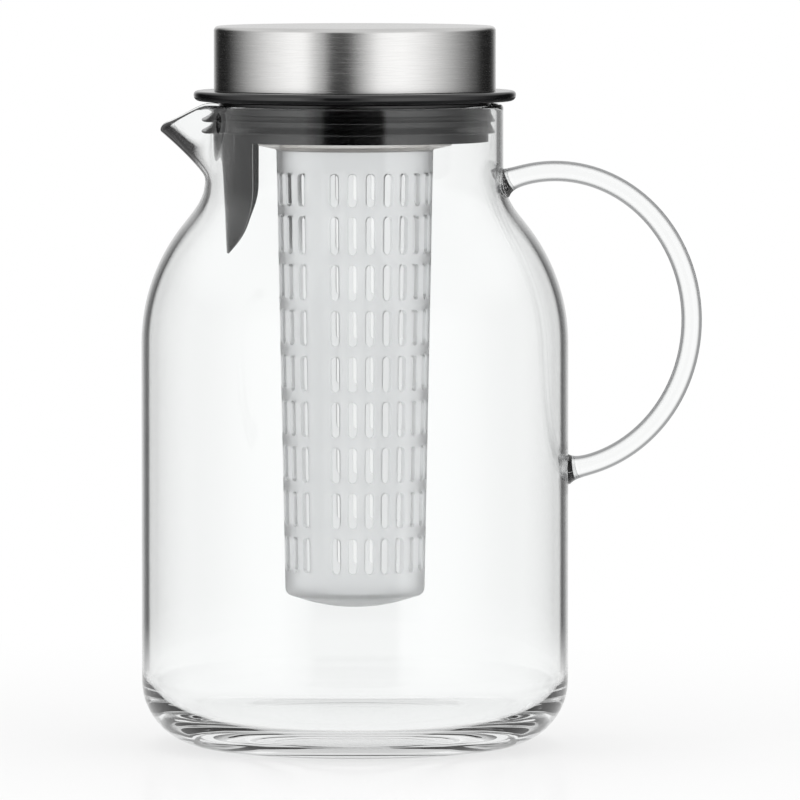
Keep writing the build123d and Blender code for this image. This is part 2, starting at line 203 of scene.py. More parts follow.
def effect_group(name, inputs, outputs):
    """An empty shader group with the given number sockets."""
    group = bpy.data.node_groups.new(name, "ShaderNodeTree")
    for label, default in inputs:
        socket = group.interface.new_socket(name=label, in_out="INPUT", socket_type="NodeSocketFloat")
        socket.default_value = default
    for label in outputs:
        group.interface.new_socket(name=label, in_out="OUTPUT", socket_type="NodeSocketFloat")
    return group, group.nodes.new("NodeGroupInput"), group.nodes.new("NodeGroupOutput")


def feed(tree, socket, value):
    """Gives an input its value: a link from another socket, or a constant."""
    if isinstance(value, bpy.types.NodeSocket):
        tree.links.new(value, socket)
    else:
        socket.default_value = value


def calculate(tree, operation, *values):
    """A Math node; each value is a number or a socket."""
    node = tree.nodes.new("ShaderNodeMath")
    node.operation = operation
    for socket, value in zip(node.inputs, values):
        feed(tree, socket, value)
    return node.outputs[0]


def times(tree, first, second):
    """The product of two values."""
    return calculate(tree, "MULTIPLY", first, second)


def blend(tree, factor, first, second, clamp=True):
    """A colour that goes from the first to the second with the factor."""
    node = tree.nodes.new("ShaderNodeMix")
    node.data_type = "RGBA"
    node.clamp_factor = clamp
    for label, value in (("Factor", factor), ("A", first), ("B", second)):
        feed(tree, node.inputs[label], value)
    return node.outputs["Result"]


def ramp(tree, share, stops):
    """A colour that follows stops of (share, colour)."""
    node = tree.nodes.new("ShaderNodeValToRGB")
    band = node.color_ramp
    while len(band.elements) < len(stops):
        band.elements.new(0.5)
    for element, (at, tint) in zip(band.elements, stops):
        element.position = at
        element.color = (*tint, 1)
    tree.links.new(share, node.inputs["Fac"])
    return node.outputs["Color"]


def slope(tree, value, start, end, kind="SMOOTHSTEP"):
    """Zero before start and one after end."""
    node = tree.nodes.new("ShaderNodeMapRange")
    node.interpolation_type = kind
    node.inputs["From Min"].default_value = start
    node.inputs["From Max"].default_value = end
    tree.links.new(value, node.inputs["Value"])
    return node.outputs["Result"]


def coordinates(tree, kind="Object"):
    """X, Y and Z of the place that is shaded."""
    split = tree.nodes.new("ShaderNodeSeparateXYZ")
    tree.links.new(tree.nodes.new("ShaderNodeTexCoord").outputs[kind], split.inputs[0])
    return split.outputs


def noise(tree, vector, scale, detail):
    """A Noise node with its mean near one half."""
    node = tree.nodes.new("ShaderNodeTexNoise")
    node.inputs["Detail"].default_value = detail
    tree.links.new(vector, node.inputs["Vector"])
    feed(tree, node.inputs["Scale"], scale)
    return node.outputs["Fac"]


def varied(group, given, pattern):
    """The roughness that a group is given, made to vary with a pattern."""
    shift = times(group, calculate(group, "SUBTRACT", pattern, 0.5), given.outputs["Spread"])
    return calculate(group, "ADD", given.outputs["Roughness"], shift)


def moulded_finish():
    """Patchy gloss with fine pitting, for glass, plastic and silicone."""
    name = "moulded_finish"
    if name in bpy.data.node_groups:
        return bpy.data.node_groups[name]
    inputs = (("Roughness", 0.3), ("Spread", 0.1), ("Patch Scale", 40.0), ("Pit Scale", 900.0))
    group, given, result = effect_group(name, inputs, ("Roughness", "Height"))
    place = group.nodes.new("ShaderNodeTexCoord").outputs["Object"]
    patch = noise(group, place, given.outputs["Patch Scale"], detail=4.0)
    rough = calculate(group, "MAXIMUM", varied(group, given, patch), 0.0)
    pits = noise(group, place, given.outputs["Pit Scale"], detail=2.0)
    group.links.new(rough, result.inputs["Roughness"])
    group.links.new(pits, result.inputs["Height"])
    return group


def turned_grain():
    """Fine brushed lines that run around the Z axis."""
    name = "turned_grain"
    if name in bpy.data.node_groups:
        return bpy.data.node_groups[name]
    inputs = (("Roughness", 0.3), ("Spread", 0.1), ("Line Scale", 4000.0), ("Run", 6.0))
    group, given, result = effect_group(name, inputs, ("Roughness", "Height", "Shade"))
    x, y, z = coordinates(group)
    around = calculate(group, "ARCTAN2", y, x)
    squares = [times(group, side, side) for side in (x, y)]
    reach = calculate(group, "SQRT", calculate(group, "ADD", *squares))
    across = group.nodes.new("ShaderNodeCombineXYZ")
    parts = ((around, "Run"), (z, "Line Scale"), (reach, "Line Scale"))
    for socket, (value, scale) in zip(across.inputs, parts):
        group.links.new(times(group, value, given.outputs[scale]), socket)
    lines = noise(group, across.outputs[0], scale=1.0, detail=3.0)
    group.links.new(varied(group, given, lines), result.inputs["Roughness"])
    group.links.new(lines, result.inputs["Height"])
    # The lines are up to 15 percent darker and lighter than the metal
    shade = calculate(group, "ADD", times(group, lines, 0.3), 0.85)
    group.links.new(shade, result.inputs["Shade"])
    return group


def finish_material(name, tint, group, values, bump, **constants):
    """A Principled material whose gloss and bump of (strength, distance) come from a shared effect."""
    material = bpy.data.materials.new(name)
    material.use_nodes = True
    tree = material.node_tree
    shader = tree.nodes["Principled BSDF"]
    shader.inputs["Base Color"].default_value = (*tint, 1.0)
    for label, value in constants.items():
        shader.inputs[label.replace("_", " ")].default_value = value
    effect = tree.nodes.new("ShaderNodeGroup")
    effect.name = "effect"
    effect.node_tree = group
    for label, value in values.items():
        effect.inputs[label].default_value = value
    tree.links.new(effect.outputs["Roughness"], shader.inputs["Roughness"])
    relief = tree.nodes.new("ShaderNodeBump")
    relief.inputs["Strength"].default_value = bump[0]
    relief.inputs["Distance"].default_value = bump[1]
    tree.links.new(effect.outputs["Height"], relief.inputs["Height"])
    tree.links.new(relief.outputs["Normal"], shader.inputs["Normal"])
    return material


def moulded(name, tint, finish, **constants):
    """A material with one of the moulded finishes."""
    roughness, spread, patches, pits, strength, depth = finishes[finish]
    values = {"Roughness": roughness, "Spread": spread, "Patch Scale": patches, "Pit Scale": pits}
    return finish_material(name, tint, moulded_finish(), values, (strength, depth), **constants)


def paint(tree, shade):
    """Gives a material a colour that varies."""
    tree.links.new(shade, tree.nodes["Principled BSDF"].inputs["Base Color"])


def clear_glass(name, tint):
    """Clear polished glass."""
    return moulded(name, tint, "polished", IOR=1.42, Transmission_Weight=1.0)


def painted_edge_shade(tree, *stops):
    """Painted shade that follows stops of (share of facing away from the viewer, colour)."""
    weight = tree.nodes.new("ShaderNodeLayerWeight")
    weight.inputs["Blend"].default_value = 0.5
    return ramp(tree, weight.outputs["Facing"], stops)


def shade_spout_edges(tree, sizes, plain, dark):
    """Painted edge shade that turns from plain to dark in the thick glass of the spout."""
    x, _, z = coordinates(tree)
    # The change begins at the neck and under the spout, and ends within the spout
    # The painted shade deepens towards the spout's tip
    forward = times(tree, x, -1.0)
    outward = slope(tree, forward, sizes.neck_radius - 0.001, sizes.neck_radius + 0.004)
    upward = slope(tree, z, sizes.spout_start - 0.004, sizes.spout_start + 0.008)
    return blend(tree, times(tree, outward, upward), plain, dark)


def glass_materials(sizes, colours):
    """Finishes of the jug's outside, of its inside and of the rod, with painted shade where they are seen
    edge on.
    """
    clear, edge = colours.glass, colours.glass_edge
    outside = clear_glass("jug_glass", clear)
    tree = outside.node_tree
    # Painted shade where the outside is seen edge on, darkest in the thick glass of the spout
    plain = painted_edge_shade(tree, (0.77, clear), (0.82, edge), (0.87, edge), (1.0, colours.glass_rim))
    deep = painted_edge_shade(tree, (0.18, clear), (0.26, colours.spout_edge))
    paint(tree, shade_spout_edges(tree, sizes, plain, deep))
    inside = clear_glass("jug_glass_inside", clear)
    rod = clear_glass("handle_glass", clear)
    # Painted shade where the rod is seen edge on
    paint(rod.node_tree, painted_edge_shade(rod.node_tree, (0.28, clear), (0.5, colours.rod_edge)))
    return outside, inside, rod


# Mesh helpers


def arc(center, radius, start, end, steps):
    """Points of an arc in the profile plane, angles in degrees."""
    angles = np.radians(np.linspace(start, end, steps + 1))
    return [(center[0] + radius * cos(a), center[1] + radius * sin(a)) for a in angles]


def straight(start, end, steps):
    """Evenly spaced points after start up to end."""
    parts = np.linspace(0, 1, steps + 1)[1:]
    return [(start[0] + (end[0] - start[0]) * t, start[1] + (end[1] - start[1]) * t) for t in parts]


def rounded(corners, steps):
    """A profile through corners of (radius, height, rounding), with each rounding drawn as an arc."""
    made = []
    for index, (x, z, size) in enumerate(corners):
        here = Vector((x, z))
        if size == 0 or index in (0, len(corners) - 1):
            made.append((x, z))
            continue
        before = (Vector(corners[index - 1][:2]) - here).normalized()
        after = (Vector(corners[index + 1][:2]) - here).normalized()
        half = acos(max(-1.0, min(1.0, before.dot(after)))) / 2
        center = here + (before + after).normalized() * (size / sin(half))
        first = here + before * (size * cos(half) / sin(half)) - center
        last = here + after * (size * cos(half) / sin(half)) - center
        for part in np.linspace(0, 1, steps + 1):
            spoke = (first * (1 - part) + last * part).normalized() * size
            made.append(tuple(center + spoke))
    return made


def around_axis(radius, angle, height):
    """A point at a radius, an angle and a height about Z."""
    return (radius * cos(angle), radius * sin(angle), height)


def turned(profile, segments, start=0.0):
    """Rings of a profile turned about Z from a start angle; a point on the axis stays one point."""
    angles = start + np.arange(segments) * 2 * pi / segments
    rings = []
    for radius, height in profile:
        if radius < 1e-7:
            rings.append([(0.0, 0.0, height)])
        else:
            rings.append([around_axis(radius, angle, height) for angle in angles])
    return rings


def add_rings(mesh, rings, loop=False):
    """Skins rings of points with faces; a ring of one point closes an end, and loop joins last to first."""
    made = [[mesh.verts.new(tuple(point)) for point in ring] for ring in rings]
    pairs = list(zip(made, made[1:]))
    if loop:
        pairs.append((made[-1], made[0]))
    for lower, upper in pairs:
        count = max(len(lower), len(upper))
        for i in range(count):
            j = (i + 1) % count
            if len(lower) == 1:
                mesh.faces.new((lower[0], upper[j], upper[i]))
            elif len(upper) == 1:
                mesh.faces.new((lower[i], lower[j], upper[0]))
            else:
                mesh.faces.new((lower[i], lower[j], upper[j], upper[i]))


def add_grid(mesh, points):
    """Skins rows of points with faces and returns their vertices."""
    grid = [[mesh.verts.new(point) for point in row] for row in points]
    for upper, lower in zip(grid, grid[1:]):
        for i in range(len(upper) - 1):
            mesh.faces.new((upper[i], upper[i + 1], lower[i + 1], lower[i]))
    return grid


def grid_border(grid):
    """The vertices around the border of a grid, in order."""
    first, last = [row[0] for row in grid], [row[-1] for row in grid]
    return grid[0][:-1] + last[:-1] + grid[-1][:0:-1] + first[:0:-1]


def new_piece(name, mesh, material, sharp=40.0):
    """Turns a bmesh into an object with a material, smooth but for edges sharper than an angle."""
    bmesh.ops.recalc_face_normals(mesh, faces=mesh.faces)
    data = bpy.data.meshes.new(name)
    mesh.to_mesh(data)
    mesh.free()
    data.shade_smooth()
    data.set_sharp_from_angle(angle=radians(sharp))
    data.materials.append(material)
    piece = bpy.data.objects.new(name, data)
    bpy.context.scene.collection.objects.link(piece)
    return piece


def skinned(name, rings, material, sharp=40.0, loop=False):
    """An object that is the skin of rings of points."""
    mesh = bmesh.new()
    add_rings(mesh, rings, loop)
    return new_piece(name, mesh, material, sharp)


def second_finish(piece, material, chosen):
    """Gives the faces that are chosen a second material."""
    piece.data.materials.append(material)
    for face in piece.data.polygons:
        face.material_index = 1 if chosen(face) else 0


def settle(piece, body, slot, *nodes):
    """Puts a piece on its body and in place of its solids; its slot is not used."""
    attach(piece, body)
    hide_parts(*nodes)


def dress(node, material):
    """Gives a solid that is shown as it is its finish."""
    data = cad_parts[node].data
    data.materials.clear()
    data.materials.append(material)


# Glass jug


def spout_growth(sizes, height):
    """How far the spout stands out of the neck at a height, on its centre line."""
    above = height - sizes.spout_start
    soft = 0.0012
    above = (above + np.sqrt(above * above + soft * soft)) / 2
    whole = sizes.rim_height - sizes.spout_drop - sizes.spout_start
    curve = 16.0
    share = (above + curve * above * above) / (whole + curve * whole * whole)
    return (sizes.spout_tip - sizes.neck_radius) * share


def spout_share(angles, spread):
    """Share of the spout's growth at angles around the axis."""
    off = np.mod(angles, 2 * pi) - pi
    return np.exp(-(np.abs(off / spread) ** 3))


def lip_heights(sizes, angles, share):
    """Height of the rim around the axis: level, but sloping down along the spout."""
    lip = np.full(len(angles), sizes.rim_height)
    soft = 0.08
    # The lip's height and its reach depend on each other, so they are found by turns
    for _ in range(20):
        reach = -(sizes.neck_radius + spout_growth(sizes, lip) * share) * np.cos(angles)
        past = (reach - sizes.lip_start) / (sizes.spout_tip - sizes.lip_start)
        past = (past + np.sqrt(past * past + soft * soft)) / 2
        lip = sizes.rim_height - sizes.spout_drop * past
    return lip


def shoulder_profile(sizes):
    """Outside of the jug's shoulder, from the straight wall up to the straight neck."""
    crown, throat = sizes.crown_radius, sizes.throat_radius
    lean = acos(1 - (sizes.body_radius - sizes.neck_radius) / (crown + throat))
    neck_start = sizes.shoulder_start + (crown + throat) * sin(lean)
    bulge = arc((sizes.body_radius - crown, sizes.shoulder_start), crown, 0, degrees(lean), steps=48)
    hollow = arc((sizes.neck_radius + throat, neck_start), throat, 180 + degrees(lean), 180, steps=32)
    return bulge + hollow[1:]


def evened(side, over):
    """Radii of a profile with each sudden change of bend spread over a length, as in blown glass."""
    heights, step = np.linspace(side[0, 1], side[-1, 1], 4001, retstep=True)
    reach = int(3 * over / step)
    weights = np.exp(-0.5 * (np.arange(-reach, reach + 1) * step / over) ** 2)
    radii = np.pad(np.interp(heights, side[:, 1], side[:, 0]), reach, mode="edge")
    radii = np.convolve(radii, weights / weights.sum(), mode="valid")
    return np.interp(side[:, 1], heights, radii)


def jug_rings(sizes, segments):
    """Rings of the jug's skin from under the foot, up the outside, over the lip and down the inside."""
    angles = np.arange(segments) * 2 * pi / segments
    share = spout_share(angles, sizes.spout_spread)
    lip = lip_heights(sizes, angles, share)
    wall = sizes.glass_wall
    heel_end = sizes.body_radius - sizes.heel_radius
    foot = [(0.0, sizes.foot_hollow)]
    for part in np.linspace(0, 1, 13)[1:]:
        foot.append((sizes.foot_inner * part, sizes.foot_hollow * (1 - part * part)))
    foot += straight(foot[-1], (heel_end, 0.0), steps=4)
    heel = arc((heel_end, sizes.heel_radius), sizes.heel_radius, -90, 0, steps=28)
    rings = turned(foot + heel[1:-1], segments)

    # Outside from the top of the heel to just under the lip
    wall_start = (sizes.body_radius, sizes.heel_radius)
    lower = [wall_start] + straight(wall_start, (sizes.body_radius, sizes.shoulder_start), steps=24)
    side = np.array(lower + shoulder_profile(sizes)[1:])
    steps = np.linspace(side[-1, 1], sizes.rim_height, 25)[1:]
    side = np.vstack([side, np.column_stack([np.full(len(steps), sizes.neck_radius), steps])])
    side[:, 0] = evened(side, sizes.bend_blend)
    # Above low the heights are drawn in to end under the sloping lip
    low = sizes.spout_start - 0.004
    height = np.repeat(side[:, 1:2], segments, axis=1)
    top = lip[None, :] - wall / 2
    lifted = low + (height - low) * (top - low) / (sizes.rim_height - low)
    height = np.where(height > low, lifted, height)
    radius = np.interp(height, side[:, 1], side[:, 0])
    radius = radius + np.where(height > low, spout_growth(sizes, height) * share[None, :], 0.0)
    outside = np.stack([radius * np.cos(angles), radius * np.sin(angles), height], axis=2)

    # Inside at the wall's thickness, square to the outside, with thicker glass at the spout's tip
    run = np.concatenate([[0.0], np.cumsum(np.linalg.norm(np.diff(side, axis=0), axis=1))])
    along = np.gradient(outside, run, axis=0)
    around = np.roll(outside, -1, axis=1) - np.roll(outside, 1, axis=1)
    square = np.cross(around, along)
    square /= np.linalg.norm(square, axis=2, keepdims=True)
    spout = spout_growth(sizes, height) / (sizes.spout_tip - sizes.neck_radius) * share[None, :]
    thicker = 0.8 * np.where(height > low, spout**3, 0.0)
    inside = outside - square * (wall * (1 + thicker))[:, :, None]

    # Lip: half a circle from the outside to the inside
    upward = along[-1] / np.linalg.norm(along[-1], axis=1, keepdims=True)
    middle = (outside[-1] + inside[-1]) / 2
    edge = []
    for angle in np.radians(np.linspace(0, 180, 11)[1:-1]):
        edge.append(middle + (outside[-1] - middle) * cos(angle) + upward * sin(angle) * (wall / 2))
    rings += list(outside) + edge
    lip_middle = len(rings) - len(edge) // 2

    # Inside down to the inner heel and across the floor
    heel_top = sizes.base_thickness + sizes.inner_heel
    bore = sizes.body_radius - wall
    rings += [ring for ring, point in zip(inside[::-1], side[::-1]) if point[1] > heel_top + 0.001]
    inner = arc((bore - sizes.inner_heel, heel_top), sizes.inner_heel, 0, -90, steps=20)
    inner += straight(inner[-1], (0.0, sizes.base_thickness), steps=8)
    rings += turned(inner, segments)
    return rings, lip_middle


def handle_rings(sizes, steps, segments):
    """Rings of the bent rod, flared at both ends, from inside the lower wall to inside the upper wall."""
    bite = sizes.glass_wall * 0.6
    upper = acos((sizes.neck_radius - bite - sizes.handle_out) / sizes.handle_depth)
    lower = -acos((sizes.body_radius - bite - sizes.handle_out) / sizes.handle_depth)
    angles = np.arange(segments) * 2 * pi / segments
    turns = lower + (upper - lower) * (1 - np.cos(np.linspace(0, pi, steps + 1))) / 2
    line = np.column_stack([sizes.handle_depth * np.cos(turns), sizes.handle_rise * np.sin(turns)])
    run = np.concatenate([[0.0], np.cumsum(np.linalg.norm(np.diff(line, axis=0), axis=1))])
    rings = []
    for along, (x, z), done in zip(turns, line, run):
        square = Vector((sizes.handle_rise * cos(along), sizes.handle_depth * sin(along))).normalized()
        nearest = max(min(done, run[-1] - done) - bite, 0.0)
        flare = sizes.weld_spread * np.exp(-2 * nearest / sizes.weld_length)
        thick = sizes.handle_thickness / 2 + flare
        wide = sizes.handle_width / 2 + flare
        ring = []
        for a in angles:
            out = square * (thick * cos(a))
            ring.append((sizes.handle_out + x + out.x, wide * sin(a), sizes.handle_height + z + out.y))
        rings.append(ring)
    first = np.mean(rings[0], axis=0)
    last = np.mean(rings[-1], axis=0)
    return [[first]] + rings + [[last]]


def weld_on(jug, rod):
    """Joins the rod to the jug, with no skin left inside the glass."""
    weld = jug.modifiers.new("weld", "BOOLEAN")
    weld.operation = "UNION"
    weld.solver = "EXACT"
    weld.material_mode = "TRANSFER"
    weld.object = rod
    bpy.context.view_layer.update()
    shaped = jug.evaluated_get(bpy.context.evaluated_depsgraph_get())
    joined = bpy.data.meshes.new_from_object(shaped)
    jug.modifiers.remove(weld)
    jug.data = joined
    bpy.data.objects.remove(rod)
    joined.shade_smooth()


class PITCHER_OT_glass(bpy.types.Operator):
    """Blow the glass jug with its spout and weld the rod handle on"""

    bl_idname = "pitcher.glass"
    bl_label = "Glass Jug"

    def execute(self, context):
        sizes, colours = settings(context)
        outside, inside, solid = glass_materials(sizes, colours)
        segments = 288
        rings, lip = jug_rings(sizes, segments)
        jug = skinned("jug_and_handle", rings, outside, sharp=60.0)
        second_finish(jug, inside, lambda face: face.index >= lip * segments)
        bent = handle_rings(sizes, steps=96, segments=48)
        weld_on(jug, skinned("handle_rod", bent, solid, sharp=60.0))
        settle(jug, "jug", "jug_glass", "jug_foot", "jug_wall", "jug_neck", "glass_handle")
        return {"FINISHED"}


# Infuser tube


def spaced(start, end, steps):
    """Evenly spaced points from start on, without end."""
    return [start] + straight(start, end, steps)[:-1]


def slot_loop(half_width, half_length, steps):
    """A round-ended slot as points, from its lower left round to the left side."""
    center = half_length - half_width
    turns = [pi * k / steps for k in range(steps)]
    lower = [(half_width * cos(pi + a), -center + half_width * sin(pi + a)) for a in turns]
    right = spaced((half_width, -center), (half_width, center), steps)
    upper = [(half_width * cos(a), center + half_width * sin(a)) for a in turns]
    left = spaced((-half_width, center), (-half_width, -center), steps)
    return lower + right + upper + left


def cell_loop(half_width, half_length, steps):
    """The edge of the patch around a slot, with its points in the same order as slot_loop."""
    across, up = half_width, half_length
    corners = [(-across, -up), (across, -up), (across, up), (-across, up)]
    loop = []
    for start, end in zip(corners, corners[1:] + corners[:1]):
        loop += spaced(start, end, steps)
    return loop


def slotted_wall(mesh, sizes, positions, rows, steps):
    """The tube's wall where the slots are: one patch per slot, and plain patches in the two blank strips."""
    wall_top = sizes.collar_top - sizes.collar_flare
    wall_bottom = tube_low.z + sizes.tube_dome
    taper = (sizes.tube_top - sizes.tube_bottom) / (wall_top - wall_bottom)
    narrow, wall, pitch = sizes.tube_bottom, sizes.tube_wall, sizes.slot_pitch
    half_width, half_length = sizes.slot_width / 2, sizes.slot_length / 2
    step = 2 * pi / positions
    cell = cell_loop(step / 2, pitch / 2, steps)

    def outer(height):
        return narrow + taper * (height - wall_bottom)

    def laid(loop, middle, center, inset, bend=1.0):
        """A flat loop laid on the wall at a depth, with its widths divided by the radius of the bend."""
        return [around_axis(outer(middle + v) - inset, center + u / bend, middle + v) for u, v in loop]

    # How far each loop lies outside the slot and below the surface: a flat land, then a rounded edge
    land, edge = 0.0006, 0.00035
    grown = [(land, 0.0), (edge * 0.35, edge * 0.12), (0.0, edge)]
    grown += [(more, wall - sunk) for more, sunk in grown[::-1]]
    shares = [k / steps - 0.5 for k in range(steps + 1)]
    for row in range(rows):
        middle = sizes.slot_top - half_length - row * pitch
        for position in range(positions):
            center = sizes.slot_start + position * step
            if position in (0, positions // 2):
                for inset in (0.0, wall):
                    across = [(step * share, 0.0) for share in shares]
                    add_grid(mesh, [laid(across, middle + pitch * share, center, inset) for share in shares])
                continue
            rings = [laid(cell, middle, center, 0.0)]
            for more, inset in grown:
                loop = slot_loop(half_width + more, half_length + more, steps)
                rings.append(laid(loop, middle, center, inset, outer(middle)))
            rings.append(laid(cell, middle, center, wall))
            add_rings(mesh, rings)
    top = sizes.slot_top - half_length + pitch / 2
    bottom = top - rows * pitch
    return (outer(top), top), (outer(bottom), bottom), wall_top, wall_bottom


def over_collar(sizes, upper, wall_top):
    """Profile from the slots up over the collar and the spigot, and down the inside to the slots."""
    wall = sizes.tube_wall
    collar, spigot = sizes.collar_radius, sizes.spigot_radius
    corners = [
        (upper[0], upper[1], 0),
        (sizes.tube_top, wall_top, 0.0006),
        (collar, sizes.collar_top - sizes.collar_edge, 0.0004),
        (collar, sizes.collar_top, 0.0003),
        (spigot, sizes.collar_top, 0.0004),
        (spigot, tube_high.z, 0.0005),
        (spigot - wall, tube_high.z, 0.0005),
        (sizes.tube_top - wall, wall_top, 0.001),
        (upper[0] - wall, upper[1], 0),
    ]
    return rounded(corners, steps=5)


def domed_end(center, bow, sweep, corner, end):
    """Profile of the tube's closed end: a dome from its pole, a soft corner, then up to the slots."""
    dome = arc((0.0, center), bow, -90, -90 + sweep, steps=16)
    return dome[:-1] + rounded([(*dome[-1], 0), corner, (*end, 0)], steps=10)


def add_pin(mesh, sizes, facing):
    """One of the spigot's pins, which run in the grooves of the screw socket."""
    out = Vector((cos(facing), sin(facing), 0))
    side = Vector((-sin(facing), cos(facing), 0))
    root = sizes.spigot_radius - sizes.tube_wall / 2
    tip = sizes.spigot_radius + sizes.pin_reach
    radius = sizes.pin_radius
    shape = rounded([(0.0, root, 0), (radius, root, 0), (radius, tip, 0.0003), (0.0, tip, 0)], steps=3)
    base = Vector((0, 0, sizes.collar_top + sizes.pin_rise))
    rings = []
    for ring in turned(shape, segments=20):
        rings.append([base + out * reach + side * u + Vector((0, 0, v)) for u, v, reach in ring])
    add_rings(mesh, rings)


class PITCHER_OT_infuser(bpy.types.Operator):
    """Mould the slotted infuser tube with its collar, spigot and pins"""

    bl_idname = "pitcher.infuser"
    bl_label = "Infuser Tube"

    def execute(self, context):
        sizes, colours = settings(context)
        plastic = moulded("infuser_plastic", colours.infuser, "frosted", IOR=1.13, Transmission_Weight=0.97)
        thick = moulded("infuser_collar", colours.collar, "frosted", IOR=1.03, Transmission_Weight=0.95)
        positions, rows, steps = 26, 9, 8
        mesh = bmesh.new()
        upper, lower, wall_top, wall_bottom = slotted_wall(mesh, sizes, positions, rows, steps)
        wall, bottom, dome = sizes.tube_wall, sizes.tube_bottom, sizes.tube_dome
        bow = (bottom**2 + dome**2) / (2 * dome)
        center = tube_low.z + bow
        sweep = degrees(asin(bottom / bow))
        # Both skins of the dome end short of the wall and run into it round a soft corner
        outer_corner = (bottom, wall_bottom - 0.0004, 0.0024)
        inner_corner = (bottom - wall, wall_bottom + 0.0003, 0.0014)
        inner_end = (lower[0] - wall, lower[1])
        profiles = (
            over_collar(sizes, upper, wall_top),
            domed_end(center, bow, sweep * 0.86, outer_corner, lower),
            domed_end(center + wall * 0.35, bow - wall * 0.65, sweep * 0.82, inner_corner, inner_end),
        )
        # Their points begin at the edge of a strip, to meet those of the slotted wall
        for profile in profiles:
            add_rings(mesh, turned(profile, positions * steps, sizes.slot_start - pi / positions))
        bmesh.ops.remove_doubles(mesh, verts=mesh.verts, dist=2e-6)
        for facing in (30, 150, 270):
            add_pin(mesh, sizes, radians(facing))
        tube = new_piece("infuser", mesh, plastic, sharp=50.0)
        second_finish(tube, thick, lambda face: face.center.z > wall_top + 0.0004)
        settle(tube, "infuser", "infuser_plastic", "infuser_tube")
        return {"FINISHED"}


# Lid


class PITCHER_OT_cap(bpy.types.Operator):
    """Press the brushed steel cap and finish the liner inside it"""

    bl_idname = "pitcher.cap"
    bl_label = "Steel Cap"

    def execute(self, context):
        sizes, colours = settings(context)
        grain = {"Roughness": 0.24, "Spread": 0.18, "Line Scale": 7000.0, "Run": 5.0}
        brushed = {"Metallic": 1.0, "Anisotropic": 0.6, "Anisotropic_Rotation": 0.25}
        relief = (0.12, 0.00006)
        steel = finish_material("brushed_steel", colours.steel, turned_grain(), grain, relief, **brushed)
        tree = steel.node_tree
        shade = tree.nodes["effect"].outputs["Shade"]
        paint(tree, blend(tree, shade, (0, 0, 0, 1), (*colours.steel, 1), clamp=False))
        radius, sheet = cap_high.x, sizes.cap_sheet
        # The second corner lies on the flat top and keeps its shading even up to the edge
        corners = [
            (0.0, cap_high.z, 0),
            (radius * 0.9, cap_high.z, 0),
            (radius, cap_high.z, sizes.cap_edge),
            (radius, cap_low.z, 0.0003),
            (radius - sheet, cap_low.z, 0.0002),
            (radius - sheet, cap_high.z - sheet, sizes.cap_edge - sheet),
            (0.0, cap_high.z - sheet, 0),
        ]
        cap = skinned("cap", turned(rounded(corners, steps=8), lid_segments), steel)
        settle(cap, "lid", "cap_steel", "steel_cap")
        dress("cap_liner", moulded("liner_plastic", colours.liner, "liner"))
        return {"FINISHED"}


def guard_edge(sizes, height):
    """Distance of the guard's cut edge from the axis at a height: upright, then bowed to the tip."""
    drop = max(0.0, plug_low.z - sizes.guard_straight - height)
    whole = plug_low.z - sizes.guard_straight - guard_low.z
    reach = sizes.guard_radius - sizes.guard_lean - sizes.guard_tip - sizes.guard_side
    bow = (whole**2 + reach**2) / (2 * reach)
    return sizes.guard_side + bow - sqrt(bow**2 - drop**2)


def add_guard(mesh, sizes, rows, columns):
    """The pour guard: a leaning shell whose two skins end at the cut edge."""
    top = plug_low.z

    def skin_radius(height, inset):
        return sizes.guard_radius - sizes.guard_lean * (top - height) / (top - guard_low.z) - inset

    skins = []
    for inset in (0.0, sizes.guard_wall):
        heights = np.linspace(top, guard_low.z, 2001)
        end = [height for height in heights if guard_edge(sizes, height) < skin_radius(height, inset)][-1]
        points = []
        for part in np.sin(np.linspace(0, pi / 2, rows + 1)):
            height = top + (end - top) * part
            radius = skin_radius(height, inset)
            half = acos(min(1.0, guard_edge(sizes, height) / radius))
            across = half * np.linspace(-1, 1, columns + 1)
            points.append([(-radius * cos(a), radius * sin(a), height) for a in across])
        skins.append(add_grid(mesh, points))
    outer, inner = [grid_border(skin) for skin in skins]
    for i in range(len(outer)):
        j = (i + 1) % len(outer)
        mesh.faces.new((outer[i], outer[j], inner[j], inner[i]))


class PITCHER_OT_mouldings(bpy.types.Operator):
    """Mould the lid's flange and pour guard and finish its plug"""

    bl_idname = "pitcher.mouldings"
    bl_label = "Lid Mouldings"

    def execute(self, context):
        sizes, colours = settings(context)
        gloss = moulded("flange_gloss", colours.flange, "gloss", Specular_IOR_Level=0.9)
        underside = moulded("flange_underside", colours.flange, "matte", Specular_IOR_Level=0.12)
        satin = moulded("plug_satin", colours.plug, "satin", Specular_IOR_Level=0.75, IOR=1.5)
        corners = [
            (sizes.flange_bore, flange_high.z, 0),
            (flange_high.x, flange_high.z, sizes.flange_top_edge),
            (flange_high.x, flange_low.z, sizes.flange_low_edge),
            (sizes.flange_bore, flange_low.z, 0),
        ]
        flange = skinned("flange", turned(rounded(corners, steps=8), lid_segments), gloss, loop=True)
        second_finish(flange, underside, lambda face: face.normal.z < -0.25)
        settle(flange, "lid", "flange_plastic", "lid_flange")
        dress("lid_plug", satin)
        dress("screw_socket", satin)

        mesh = bmesh.new()
        add_guard(mesh, sizes, rows=48, columns=40)
        guard = new_piece("guard", mesh, satin)
        soft_edge = guard.modifiers.new("soft_edge", "BEVEL")
        soft_edge.width = 0.00055
        soft_edge.segments = 3
        soft_edge.limit_method = "ANGLE"
        soft_edge.angle_limit = radians(50)
        settle(guard, "lid", "plug_plastic", "pour_guard")
        return {"FINISHED"}


